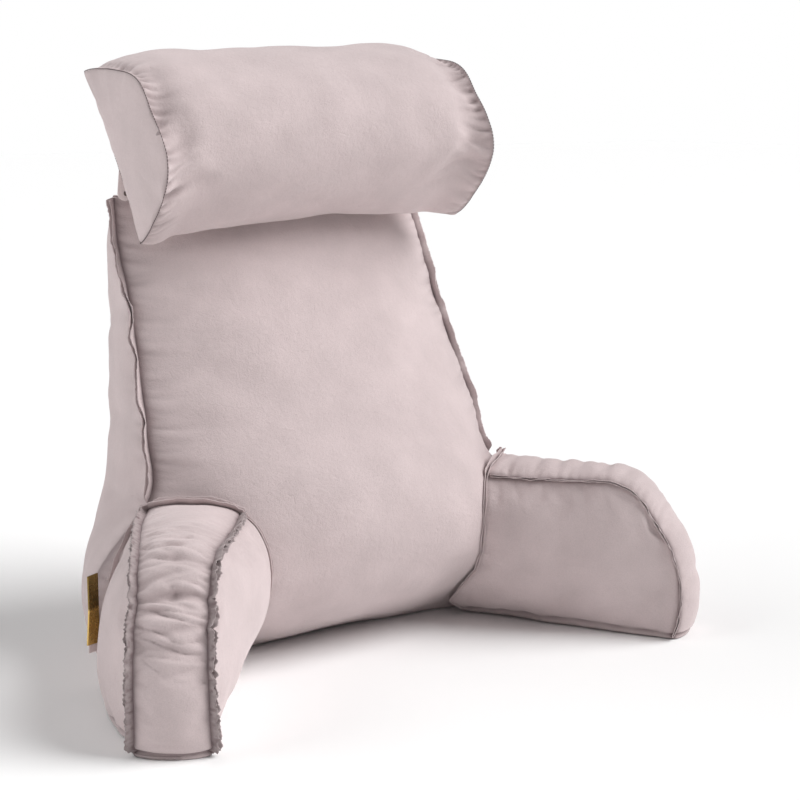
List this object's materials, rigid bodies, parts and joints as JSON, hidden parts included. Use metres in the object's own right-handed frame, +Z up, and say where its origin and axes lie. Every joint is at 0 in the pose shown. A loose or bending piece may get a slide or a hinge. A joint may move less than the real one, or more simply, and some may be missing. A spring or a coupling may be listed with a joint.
{
  "type": "backrest pillow with arms and neck roll",
  "caption": "Leaning back cushion with two splayed arms that stand on the surface, gathered strips over the arms, and a D-shaped neck roll held to the top by snap tabs.",
  "frame": {"origin": "on the floor, on the back cushion's base, in the middle between its sides and under its middle depth", "axes": "+X to the right as seen from the front, +Y to the rear, +Z up; the pillow faces -Y"},
  "size_m": [0.74, 0.4802, 0.6672],
  "materials": {
    "cover": "dusty mauve brushed peach-skin cloth",
    "tab_cloth": "pale smooth cloth",
    "snap_metal": "dark satin press stud",
    "plate_metal": "polished gold plate, bare"
  },
  "bodies": {
    "root": {"back_cushion": "cover", "arm_left": "cover", "arm_right": "cover", "neck_roll": "cover", "tab_left": "tab_cloth", "tab_right": "tab_cloth", "snap_left": "snap_metal", "snap_right": "snap_metal", "label_plate": "plate_metal", "label_ribbon": "tab_cloth"}
  },
  "joints": []
}
